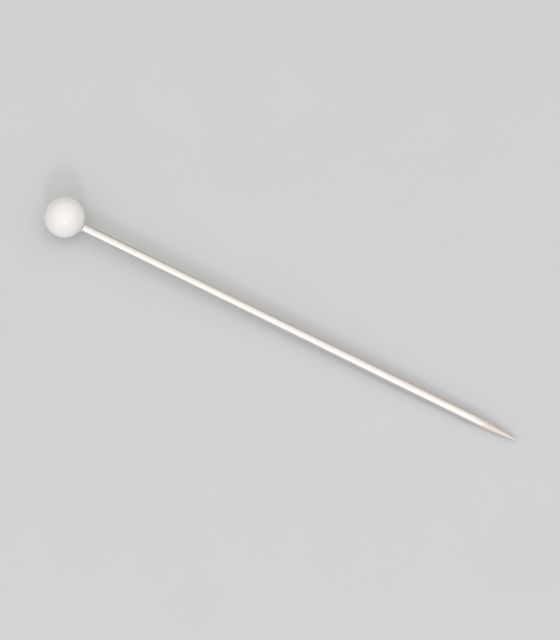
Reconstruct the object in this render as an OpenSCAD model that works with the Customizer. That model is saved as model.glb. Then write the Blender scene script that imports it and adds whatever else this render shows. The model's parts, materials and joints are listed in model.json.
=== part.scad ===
// Straight pin: a drawn steel wire with a ground point and a bead of glass melted onto its blunt end.
// It lies on its side as it comes to rest, on the bead and on the shoulder of its point.
// Millimetres, +Z up, point towards +X, origin below the middle of the pin on the surface it lies on.

/* [Pin] */
// Length over all, from the far side of the bead to the end of the point
pin_len = 34; // [24:0.5:50]

/* [Wire] */
// Diameter of the drawn wire
wire_d = 0.65; // [0.5:0.05:0.9]
// Length of the ground point, from the full wire to its very end
point_len = 4; // [2:0.25:8]
// Radius of the rounding on the very end of the point
tip_r = 0.02; // [0.01:0.005:0.05]
// Diameter of the wire's hidden end, inside the bead
tang_d = 0.6; // [0.4:0.05:0.65]

/* [Bead] */
// Diameter of the glass bead
bead_d = 2.66; // [2:0.02:5]
// How far the middle of the bead sits off the wire's axis
bead_offset = 0.25; // [0:0.05:0.4]
// Glass left between the hidden end of the wire and the far side of the bead
glass_behind = 1; // [0.5:0.05:1.3]
// Radius of the hollow curve where the glass flows onto the wire
collar_r = 0.15; // [0.1:0.05:0.5]
// Thickness of the glass at the mouth of the collar
collar_lip = 0.03; // [0.01:0.01:0.08]

/* [Hidden] */

// Facets round the wire, the bead and the small curves, and round the long arc of the point
round_fn = 96;
long_arc_fn = 1440;

wire_r = wire_d / 2;
bead_r = bead_d / 2;

// The wire's axis is X in the pin's own frame, and the middle of the bead is straight above x = 0.
tip_x = pin_len - bead_r;
shoulder_x = tip_x - point_len;
hidden_end_x = glass_behind - bead_r;

// One arc runs tangent from the full wire into the small round of the tip.
tip_centre = point_len - tip_r;
ogive_r = (wire_r ^ 2 + tip_centre ^ 2 - tip_r ^ 2) / (2 * (wire_r - tip_r));
tip_blend = ogive_r * tip_centre / (ogive_r - tip_r);

// The hollow bites this little into the bead, so that no sliver is left where their circles touch.
collar_bite = 0.00001;

// The bead's own axis runs from its middle to the mouth of its collar, where it meets the wire's axis.
collar_centre = [
    wire_r + collar_lip + collar_r,
    sqrt((bead_r + collar_r - collar_bite) ^ 2 - (wire_r + collar_lip + collar_r) ^ 2)
];
bead_skew = asin(bead_offset / collar_centre.y);
mouth_x = collar_centre.y * cos(bead_skew);

// The full wire starts where the last of the glass ends.
land_x = mouth_x + (wire_r + collar_lip) * sin(bead_skew);

// The pin leans on the bead and on the arc of the point, so its tilt is that of the line under both.
bead_to_arc = [shoulder_x, ogive_r - wire_r - bead_offset];
rest_tilt = atan2(bead_to_arc.y, bead_to_arc.x) + asin((bead_r - ogive_r) / norm(bead_to_arc));
rest_height = bead_r - bead_offset * cos(rest_tilt);
low_x = bead_offset * sin(rest_tilt) - bead_r;
high_x = (tip_x - tip_r) * cos(rest_tilt) + tip_r;

// Lays the pin from its own frame onto the surface that it rests on.
module at_rest() {
    translate([-(low_x + high_x) / 2, 0, rest_height])
        rotate([0, rest_tilt, 0])
            children();
}

// Half the outline of the point, with its axis on Y and its shoulder on X.
module point_profile() {
    intersection() {
        square([wire_r, tip_blend]);
        translate([wire_r - ogive_r, 0])
            circle(r = ogive_r, $fn = long_arc_fn);
    }
    intersection() {
        translate([0, tip_blend])
            square(tip_r);
        translate([0, tip_centre])
            circle(r = tip_r, $fn = round_fn);
    }
}

// The whole wire along X: hidden tang, full land and ground point.
module wire() {
    rotate([0, 90, 0])
        rotate_extrude($fn = round_fn) {
            polygon([
                [0, hidden_end_x],
                [tang_d / 2, hidden_end_x],
                [wire_r, land_x],
                [wire_r, shoulder_x],
                [0, shoulder_x]
            ]);
            translate([0, shoulder_x])
                point_profile();
        }
}

// Half the outline of the bead, with its axis on Y: a round that flows into the collar.
module bead_profile() {
    intersection() {
        translate([0, -bead_r])
            square([bead_r, bead_r + collar_centre.y]);
        difference() {
            union() {
                circle(r = bead_r, $fn = round_fn);
                polygon([[0, 0], collar_centre, [0, collar_centre.y]]);
            }
            translate(collar_centre)
                circle(r = collar_r, $fn = round_fn);
        }
    }
}

// Drawn steel wire, from its hidden end in the bead to its ground point
module steel_shaft() {
    color([0.80, 0.78, 0.75])
        at_rest()
            wire();
}

// Bead of opaque white glass, set a little off the wire, with the wire's own seat in it
module glass_head() {
    color([0.95, 0.94, 0.91])
        at_rest()
            difference() {
                translate([0, 0, bead_offset])
                    rotate([0, 90 + bead_skew, 0])
                        rotate_extrude($fn = round_fn)
                            bead_profile();
                wire();
            }
}

steel_shaft();
glass_head();
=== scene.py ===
# A glass-headed straight pin lying free on a pale floor, seen from almost straight above.
import json
import math

import bpy
from mathutils import Matrix, Vector, noise


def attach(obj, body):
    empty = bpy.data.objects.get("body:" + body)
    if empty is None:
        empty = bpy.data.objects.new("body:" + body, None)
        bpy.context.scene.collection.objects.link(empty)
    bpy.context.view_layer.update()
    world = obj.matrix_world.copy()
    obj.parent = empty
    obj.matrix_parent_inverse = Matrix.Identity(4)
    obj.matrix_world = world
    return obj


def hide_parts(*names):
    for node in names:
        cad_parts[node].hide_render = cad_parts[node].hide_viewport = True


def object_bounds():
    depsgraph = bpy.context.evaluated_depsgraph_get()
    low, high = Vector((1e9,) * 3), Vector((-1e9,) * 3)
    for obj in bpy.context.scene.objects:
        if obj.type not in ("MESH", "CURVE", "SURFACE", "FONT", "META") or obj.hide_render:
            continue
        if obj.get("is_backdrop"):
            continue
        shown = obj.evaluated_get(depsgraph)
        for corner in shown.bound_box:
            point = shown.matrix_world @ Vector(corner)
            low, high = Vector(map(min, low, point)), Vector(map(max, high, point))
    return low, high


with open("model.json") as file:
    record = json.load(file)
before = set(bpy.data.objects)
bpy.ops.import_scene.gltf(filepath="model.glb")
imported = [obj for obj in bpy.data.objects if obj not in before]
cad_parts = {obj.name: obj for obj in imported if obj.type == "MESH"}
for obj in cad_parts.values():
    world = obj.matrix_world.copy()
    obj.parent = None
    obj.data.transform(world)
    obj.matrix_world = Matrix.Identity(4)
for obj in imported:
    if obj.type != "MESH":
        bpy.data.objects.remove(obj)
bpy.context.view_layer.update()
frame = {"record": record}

MM = 0.001

# Sizes of the pin that its record doesn't hold
BEAD_R = 1.33 * MM
BEAD_OFFSET = 0.25 * MM
COLLAR_R = 0.15 * MM
COLLAR_LIP = 0.03 * MM
GLASS_BEHIND = 1.0 * MM
TANG_R = 0.30 * MM
POINT_LEN = 4.0 * MM
TIP_R = 0.02 * MM

# Fineness of the meshes
SIDES = 128
BEAD_RINGS = 72
COLLAR_RINGS = 14
SEAT_RINGS = 14
LAND_RINGS = 40
POINT_RINGS = 64
TIP_RINGS = 8

# The melted bead is out of round by up to this share of its radius, always inwards
BEAD_UNEVEN = 0.005
BEAD_LUMPS_PER_M = 700

# The ground finish sets in from here to here past the shoulder of the point, in lines this ragged
GROUND_FROM, GROUND_TO, GROUND_RAGGED = 0.4 * MM, 1.8 * MM, 3.0 * MM

# Near the mouth of the glass the wire shows through the thin glass, and shade is painted into the
# hollow where glass meets wire: both grey the glass out to this far past the wire's radius
THIN_GLASS_AND_SHADE_REACH, THIN_GLASS_AND_SHADE_SHOWS = 0.16 * MM, 0.35

# How many features each pattern has in a metre along X, Y and Z, and how it is turned
DRAWN_LINES = (80, 15000, 15000)
HAIRLINES = (400, 60000, 60000)
GRINDING, GRINDING_TURN = (600, 70000, 70000), (0, 0.03, 0.03)
CLOUDS, CLOUDS_TURN = (900, 1400, 900), (0.4, 0.9, 0.2)
SEEDS, SEED_PATCHES = 3600, (2100, 2100, 2100)
RIPPLES = (1300, 1300, 1300)
MOTTLE = (160, 160, 160)

# The values of a pattern between which it sets in
MOST_OF_NOISE = (0.3, 0.7)
WORN_LINES = (0.45, 0.70)
SCORED_GRINDING = (0.42, 0.66)
DENSE_CLOUDS = (0.35, 0.70)
SEED_EDGE = (0.05, 0.10)
SEEDED_PATCHES = (0.60, 0.66)

# Each surface's colour where its pattern is faintest, and where it is strongest
DRAWN_COLOURS = (0.77, 0.75, 0.725, 1), (0.70, 0.68, 0.655, 1)
GROUND_COLOURS = (0.755, 0.72, 0.677, 1), (0.68, 0.645, 0.605, 1)
GLASS_COLOURS = (0.76, 0.753, 0.74, 1), (0.73, 0.718, 0.70, 1)
FLOOR_COLOURS = (0.530, 0.545, 0.560, 1), (0.547, 0.562, 0.577, 1)
SEED_COLOUR, SEED_SHOWS = (0.62, 0.60, 0.57, 1), 0.5
# The grey of the wire through thin glass, together with painted shade where the glass meets the
# wire
THIN_GLASS_AND_SHADE_COLOUR = (0.60, 0.575, 0.54, 1)

# Roughness, at the smoothest and at the roughest where it varies
DRAWN_ROUGHNESS = (0.08, 0.20)
GROUND_ROUGHNESS = (0.66, 0.78)
GLASS_ROUGHNESS = (0.05, 0.09)
FLOOR_ROUGHNESS, FLOOR_GLOSS = 0.85, 0.2

# Relief: its full depth, and how much of that each kind takes
RELIEF = 0.004 * MM
STEEL_RELIEF, GLASS_RELIEF = 1.0, 0.6
HAIRLINE_RELIEF, GRINDING_RELIEF = 0.25, 0.25

# Light scatters this far in the glass, and a little less so towards blue
GLASS_SCATTER, GLASS_SCATTER_RGB = 0.4 * MM, (1.0, 0.98, 0.96)
GLASS_IOR = 1.52

# The photograph's view: the pin runs down to the right, and the camera leans towards the picture's
# foot, which shows the bead set off to one side of the wire as the photograph does
PIN_SLOPE_IN_VIEW = math.radians(25.5)
CAMERA_LEAN = math.radians(25)
CAMERA_DISTANCE = 0.30
CAMERA_NEAR, CAMERA_FAR = 0.01, 20
FRAME_W, FRAME_H = 560, 640
PIN_SHARE_OF_WIDTH = 0.86
SENSOR = 36.0
FLOOR_HALF = 2.0

# A broad glow and a small lamp light the pin from the side of the picture's foot. Both leans are
# counted from straight overhead.
GLOW_LEAN = math.radians(54)
GLOW_RADIANCE, GLOW_FALLOFF = 0.72, 2.0
LAMP_LEAN = math.radians(56)
LAMP_DISTANCE, LAMP_SIZE, LAMP_RADIANCE = 0.28, 0.054, 20.0

# The walls brighten from one height above the horizon to another, and dim towards the room's ends
WALLS_FOOT, WALLS_MIDDLE = math.radians(5), math.radians(18)
WALLS_FOOT_RADIANCE, WALLS_RADIANCE = 0.06, 0.86
ENDS_DIMMED = 0.42
WALLS_COLOUR, GLOW_COLOUR = (1.0, 0.93, 0.86, 1), (1, 1, 1, 1)


# Where the pin lies, from its mount
shank = next(m for m in frame["record"]["mounts"] if m["name"] == "shank")
wire_r = shank["dims"]["r_mm"] * MM
land_len = shank["dims"]["length_mm"] * MM
along = Vector(shank["axis"]).normalized()
side = Vector((0, 1, 0))
above = along.cross(side)
tilt = math.asin(-along.z)

# The collar's hollow curve is centred this far out from the bead's axis and this far up along it
collar_out = wire_r + COLLAR_LIP + COLLAR_R
collar_up = math.sqrt((BEAD_R + COLLAR_R) ** 2 - collar_out ** 2)
bead_skew = math.asin(BEAD_OFFSET / collar_up)

# Places along the wire's axis, counted from below the middle of the bead
mouth_x = collar_up * math.cos(bead_skew)
land_x = mouth_x + (wire_r + COLLAR_LIP) * math.sin(bead_skew)
shoulder_x = land_x + land_len
tip_x = shoulder_x + POINT_LEN
hidden_end_x = GLASS_BEHIND - BEAD_R

foot = Vector(shank["pos_m"]) - along * (land_x + land_len / 2)
hidden_end = foot + along * hidden_end_x
bead_centre = foot + above * BEAD_OFFSET
mouth = foot + along * mouth_x
bead_along = (mouth - bead_centre).normalized()
bead_above = bead_along.cross(side)


# Mesh building

def steps(start, end, count):
    """count + 1 even steps from start to end."""
    return [start + (end - start) * i / count for i in range(count + 1)]


def spokes(up):
    """Unit vectors all round an axis, from up towards the side."""
    turns = [math.tau * i / SIDES for i in range(SIDES)]
    return [up * math.cos(t) + side * math.sin(t) for t in turns]


def ring(origin, axis, up, x, r):
    """The points of a circle of radius r round the axis, at x along it."""
    return [origin + axis * x + spoke * r for spoke in spokes(up)]


def wire_ring(x, r):
    return ring(foot, along, above, x, r)


def closed_mesh(name, start, rings, end):
    """A closed mesh of quads through the rings, with a fan to the start and the end point."""
    points = [start] + [p for r in rings for p in r] + [end]
    last = 1 + (len(rings) - 1) * SIDES
    faces = []
    for i in range(SIDES):
        j = (i + 1) % SIDES
        faces.append((0, 1 + i, 1 + j))
        for a in range(1, last, SIDES):
            b = a + SIDES
            faces.append((a + i, b + i, b + j, a + j))
        faces.append((last + j, last + i, len(points) - 1))
    mesh = bpy.data.meshes.new(name)
    mesh.from_pydata(points, [], faces)
    mesh.shade_smooth()
    mesh.update()
    piece = bpy.data.objects.new(name, mesh)
    bpy.context.scene.collection.objects.link(piece)
    return piece


def tang_r(x):
    """Radius at x of the wire's hidden end, which widens evenly to the full wire."""
    return TANG_R + (wire_r - TANG_R) * (x - hidden_end_x) / (land_x - hidden_end_x)


def point_outline():
    """(x, radius) along the ground point: one long arc, and the small round of the tip."""
    centre_x = POINT_LEN - TIP_R
    arc_r = (wire_r ** 2 + centre_x ** 2 - TIP_R ** 2) / (2 * (wire_r - TIP_R))
    blend = math.asin(centre_x / (arc_r - TIP_R))
    arc = [(arc_r * math.sin(t), wire_r - arc_r + arc_r * math.cos(t))
           for t in steps(0, blend, POINT_RINGS)]
    tip = [(centre_x + TIP_R * math.sin(t), TIP_R * math.cos(t))
           for t in steps(blend, math.pi / 2, TIP_RINGS)]
    return [(shoulder_x + x, r) for x, r in arc[1:] + tip[1:-1]]


def make_needle():
    """The whole wire: hidden end, straight land and ground point."""
    hidden = [(hidden_end_x, TANG_R), (land_x, wire_r)]
    land = [(x, wire_r) for x in steps(land_x, shoulder_x, LAND_RINGS)[1:]]
    rings = [wire_ring(x, r) for x, r in hidden + land + point_outline()]
    return closed_mesh("needle", hidden_end, rings, foot + along * tip_x)


def bead_outline():
    """(place on the bead's axis, radius) from near its far side to the mouth of the collar."""
    to_collar = math.atan2(collar_out, collar_up)
    rounds = [(BEAD_R * math.cos(t), BEAD_R * math.sin(t))
              for t in steps(math.pi, to_collar, BEAD_RINGS)]
    hollow = [(collar_up - COLLAR_R * math.sin(t), collar_out - COLLAR_R * math.cos(t))
              for t in steps(math.pi / 2 - to_collar, 0, COLLAR_RINGS)]
    return rounds[1:] + hollow[1:]


def uneven(point):
    """The point moved inwards a little, less so near the mouth: no melted bead is quite round."""
    away = min(1.0, (mouth - point).length / BEAD_R)
    lump = 0.5 + 0.5 * noise.noise(point * BEAD_LUMPS_PER_M)
    return bead_centre + (point - bead_centre) * (1 - BEAD_UNEVEN * away * lump)


def seat_rings():
    """The wire's seat in the glass, from the slanting mouth to the hidden end."""
    at_mouth = []
    for spoke in spokes(above):
        x = mouth_x - wire_r * spoke.dot(bead_along) / along.dot(bead_along)
        at_mouth.append(foot + along * x + spoke * tang_r(x))
    inside_x = mouth_x - wire_r * math.tan(bead_skew)
    return [at_mouth] + [wire_ring(x, tang_r(x))
                         for x in steps(inside_x, hidden_end_x, SEAT_RINGS)[1:]]


def make_bead():
    """The glass bead: a slightly uneven round with a collar, and the wire's seat in it."""
    outside = [[uneven(p) for p in ring(bead_centre, bead_along, bead_above, x, r)]
               for x, r in bead_outline()]
    far_side = uneven(bead_centre - bead_along * BEAD_R)
    return closed_mesh("bead", far_side, outside + seat_rings(), hidden_end)


# Nodes

def set_inputs(tree, node, inputs):
    """Sets each of these inputs of the node, or links it where its value is a socket."""
    for key, value in inputs.items():
        if isinstance(value, bpy.types.NodeSocket):
            tree.links.new(value, node.inputs[key])
        else:
            node.inputs[key].default_value = value


def add_node(tree, kind, inputs=None, **settings):
    node = tree.nodes.new(kind)
    for key, value in settings.items():
        setattr(node, key, value)
    set_inputs(tree, node, inputs or {})
    return node


def maths(tree, operation, *values):
    return add_node(tree, "ShaderNodeMath", dict(enumerate(values)), operation=operation).outputs[0]


def vector_maths(tree, operation, a, b):
    """A measure of two vectors, such as the distance between them."""
    node = add_node(tree, "ShaderNodeVectorMath", {0: a, 1: b}, operation=operation)
    return node.outputs["Value"]


def map_range(tree, value, source, target=(0, 1), smooth=False):
    """Carries the source range over to the target range, and holds still outside it."""
    return add_node(tree, "ShaderNodeMapRange", {
        "Value": value,
        "From Min": source[0],
        "From Max": source[1],
        "To Min": target[0],
        "To Max": target[1],
    }, interpolation_type="SMOOTHSTEP" if smooth else "LINEAR").outputs["Result"]


# A Mix node keeps its inputs and outputs for numbers and for colours in different places.

def mix_numbers(tree, factor, a, b):
    return add_node(tree, "ShaderNodeMix", {0: factor, 2: a, 3: b}).outputs[0]


def mix_colours(tree, factor, a, b):
    mix = add_node(tree, "ShaderNodeMix", {0: factor, 6: a, 7: b}, data_type="RGBA")
    return mix.outputs[2]


def stretched_noise(tree, vector, scale, detail, turn=(0, 0, 0)):
    """Noise with as many features in a metre along X, Y and Z as scale says."""
    turned = add_node(tree, "ShaderNodeMapping", {"Vector": vector, "Rotation": turn})
    drawn = add_node(tree, "ShaderNodeMapping", {"Vector": turned.outputs[0], "Scale": scale})
    return add_node(tree, "ShaderNodeTexNoise", {
        "Vector": drawn.outputs[0],
        "Scale": 1.0,
        "Detail": detail,
    }).outputs["Fac"]


def relief_normal(tree, height, strength):
    return add_node(tree, "ShaderNodeBump", {
        "Height": height,
        "Strength": strength,
        "Distance": RELIEF,
    }).outputs["Normal"]


# Materials

def new_material(name):
    material = bpy.data.materials.new(name)
    material.use_nodes = True
    tree = material.node_tree
    return material, tree, tree.nodes["Principled BSDF"]


def object_coordinates(tree):
    return add_node(tree, "ShaderNodeTexCoord").outputs["Object"]


def wire_coordinates(tree):
    """Coordinates with X along the wire's axis, counted from below the middle of the bead."""
    turn = Matrix.Rotation(-tilt, 3, "Y")
    return add_node(tree, "ShaderNodeMapping", {
        "Vector": object_coordinates(tree),
        "Rotation": (0, -tilt, 0),
        "Location": -(turn @ foot),
    }).outputs["Vector"]


def ground_share(tree, vector, lines):
    """1 where the point is ground and 0 where the wire is drawn, ragged along the drawn lines."""
    x = add_node(tree, "ShaderNodeSeparateXYZ", {"Vector": vector}).outputs["X"]
    either_way = maths(tree, "SUBTRACT", lines, 0.5)
    ragged_x = maths(tree, "MULTIPLY_ADD", either_way, GROUND_RAGGED, x)
    sets_in = (shoulder_x + GROUND_FROM, shoulder_x + GROUND_TO)
    return map_range(tree, ragged_x, sets_in, smooth=True)


def drawn_steel():
    """Bright drawn wire with fine lines along it, and a satin point with grinding lines."""
    material, tree, shader = new_material("drawn_steel")
    vector = wire_coordinates(tree)
    lines = stretched_noise(tree, vector, DRAWN_LINES, detail=4)
    hairlines = stretched_noise(tree, vector, HAIRLINES, detail=2)
    grinding = stretched_noise(tree, vector, GRINDING, detail=3, turn=GRINDING_TURN)
    ground = ground_share(tree, vector, lines)

    drawn_colour = mix_colours(tree, map_range(tree, lines, WORN_LINES), *DRAWN_COLOURS)
    ground_colour = mix_colours(tree, map_range(tree, grinding, SCORED_GRINDING), *GROUND_COLOURS)
    drawn_rough = map_range(tree, hairlines, MOST_OF_NOISE, DRAWN_ROUGHNESS)
    ground_rough = map_range(tree, grinding, MOST_OF_NOISE, GROUND_ROUGHNESS)
    drawn_height = maths(tree, "MULTIPLY_ADD", hairlines, HAIRLINE_RELIEF, lines)
    ground_height = maths(tree, "MULTIPLY", grinding, GRINDING_RELIEF)
    height = mix_numbers(tree, ground, drawn_height, ground_height)
    set_inputs(tree, shader, {
        "Base Color": mix_colours(tree, ground, drawn_colour, ground_colour),
        "Roughness": mix_numbers(tree, ground, drawn_rough, ground_rough),
        "Normal": relief_normal(tree, height, STEEL_RELIEF),
        "Metallic": 1.0,
    })
    return material


def seed_specks(tree, vector):
    """Tiny round seeds, in a few patches of the glass only."""
    cells = add_node(tree, "ShaderNodeTexVoronoi", {"Vector": vector, "Scale": SEEDS})
    seeds = map_range(tree, cells.outputs["Distance"], SEED_EDGE, (1, 0), smooth=True)
    patches = stretched_noise(tree, vector, SEED_PATCHES, detail=1)
    return maths(tree, "MULTIPLY", seeds, map_range(tree, patches, SEEDED_PATCHES))


def white_glass():
    """Opaque white glass: clouded within, glossy, faintly rippled, with a few tiny seeds."""
    material, tree, shader = new_material("white_glass")
    vector = object_coordinates(tree)
    clouds = stretched_noise(tree, vector, CLOUDS, detail=5, turn=CLOUDS_TURN)
    ripples = stretched_noise(tree, vector, RIPPLES, detail=2)
    specks = seed_specks(tree, vector)

    clouded = mix_colours(tree, map_range(tree, clouds, DENSE_CLOUDS), *GLASS_COLOURS)
    seeded = mix_colours(tree, maths(tree, "MULTIPLY", specks, SEED_SHOWS), clouded, SEED_COLOUR)
    # Painted shade in the hollow at the collar's mouth, together with the wire's grey through the
    # thin glass there
    thin_glass_and_shade = map_range(tree, vector_maths(tree, "DISTANCE", vector, mouth),
                     (wire_r + COLLAR_LIP, wire_r + THIN_GLASS_AND_SHADE_REACH), (THIN_GLASS_AND_SHADE_SHOWS, 0), smooth=True)
    height = maths(tree, "SUBTRACT", ripples, specks)
    set_inputs(tree, shader, {
        "Base Color": mix_colours(tree, thin_glass_and_shade, seeded, THIN_GLASS_AND_SHADE_COLOUR),
        "Roughness": map_range(tree, clouds, MOST_OF_NOISE, GLASS_ROUGHNESS),
        "Normal": relief_normal(tree, height, GLASS_RELIEF),
        "IOR": GLASS_IOR,
        "Subsurface Weight": 1.0,
        "Subsurface Scale": GLASS_SCATTER,
        "Subsurface Radius": GLASS_SCATTER_RGB,
    })
    return material


def plain_floor():
    """Pale, matt and faintly mottled."""
    material, tree, shader = new_material("floor")
    mottle = stretched_noise(tree, object_coordinates(tree), MOTTLE, detail=4)
    set_inputs(tree, shader, {
        "Base Color": mix_colours(tree, mottle, *FLOOR_COLOURS),
        "Roughness": FLOOR_ROUGHNESS,
        "Specular IOR Level": FLOOR_GLOSS,
    })
    return material


# The scene

def make_floor():
    half = FLOOR_HALF
    mesh = bpy.data.meshes.new("floor")
    corners = [(-half, -half, 0), (half, -half, 0), (half, half, 0), (-half, half, 0)]
    mesh.from_pydata(corners, [], [(0, 1, 2, 3)])
    floor = bpy.data.objects.new("floor", mesh)
    bpy.context.scene.collection.objects.link(floor)
    mesh.materials.append(plain_floor())
    floor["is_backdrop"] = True


def view_axes():
    """The picture's right, and its up on the floor. +X, the pin's way, runs down to the right."""
    on_floor = math.atan(math.tan(PIN_SLOPE_IN_VIEW) / math.cos(CAMERA_LEAN))
    right = Vector((math.cos(on_floor), math.sin(on_floor), 0))
    return right, Vector((-right.y, right.x, 0))


def off_overhead(lean):
    """The direction that leans from straight overhead towards the picture's foot."""
    _, up = view_axes()
    return Vector((0, 0, 1)) * math.cos(lean) - up * math.sin(lean)


def place(thing, lean, distance, target):
    """Sets a lamp or camera at this lean and distance from its target, facing it."""
    right, _ = view_axes()
    back = off_overhead(lean)
    turn = Matrix((right, back.cross(right), back)).transposed()
    thing.matrix_world = Matrix.Translation(target + back * distance) @ turn.to_4x4()
    bpy.context.scene.collection.objects.link(thing)


def make_camera():
    """The photograph's view. The sensor's size is that of the frame's long side, its height."""
    low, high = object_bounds()
    data = bpy.data.cameras.new("camera")
    view_w = (high.x - low.x) * math.cos(PIN_SLOPE_IN_VIEW) / PIN_SHARE_OF_WIDTH
    data.sensor_width = SENSOR
    data.lens = SENSOR * (FRAME_W / FRAME_H) * CAMERA_DISTANCE / view_w
    data.clip_start, data.clip_end = CAMERA_NEAR, CAMERA_FAR
    camera = bpy.data.objects.new("camera", data)
    place(camera, CAMERA_LEAN, CAMERA_DISTANCE, (low + high) / 2)
    bpy.context.scene.camera = camera


def make_lamp():
    """A small round lamp, which makes the bright dot on the bead."""
    data = bpy.data.lights.new("lamp", "AREA")
    data.shape, data.size = "DISK", LAMP_SIZE
    area = math.pi * (LAMP_SIZE / 2) ** 2
    data.energy = LAMP_RADIANCE * math.pi * area
    lamp = bpy.data.objects.new("lamp", data)
    lamp.visible_camera = False
    place(lamp, LAMP_LEAN, LAMP_DISTANCE, Vector((0, 0, 0)))


def make_studio():
    """Warm pale walls, dimmer at their foot and at the room's two ends, with a broad soft glow."""
    world = bpy.data.worlds.new("world")
    world.use_nodes = True
    tree = world.node_tree
    way = add_node(tree, "ShaderNodeTexCoord").outputs["Generated"]
    axes = add_node(tree, "ShaderNodeSeparateXYZ", {"Vector": way}).outputs

    facing = vector_maths(tree, "DOT_PRODUCT", way, off_overhead(GLOW_LEAN))
    glow = maths(tree, "POWER", map_range(tree, facing, (-1, 1)), GLOW_FALLOFF)
    walls = map_range(tree, axes["Z"], (math.sin(WALLS_FOOT), math.sin(WALLS_MIDDLE)),
                      (WALLS_FOOT_RADIANCE, WALLS_RADIANCE), smooth=True)
    towards_ends = maths(tree, "MULTIPLY", axes["X"], axes["X"])
    ends = map_range(tree, towards_ends, (0, 1), (1, 1 - ENDS_DIMMED))
    radiance = maths(tree, "MULTIPLY_ADD", glow, GLOW_RADIANCE, walls)
    set_inputs(tree, tree.nodes["Background"], {
        "Color": mix_colours(tree, glow, WALLS_COLOUR, GLOW_COLOUR),
        "Strength": maths(tree, "MULTIPLY", radiance, ends),
    })
    bpy.context.scene.world = world


def dress(piece, node, material):
    """The piece stands for a CAD node and takes its finish."""
    piece.data.materials.append(material)
    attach(piece, "root")
    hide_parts(node)


dress(make_needle(), "steel_shaft", drawn_steel())
dress(make_bead(), "glass_head", white_glass())
make_floor()
make_camera()
make_lamp()
make_studio()
bpy.context.scene.view_settings.view_transform = "Standard"
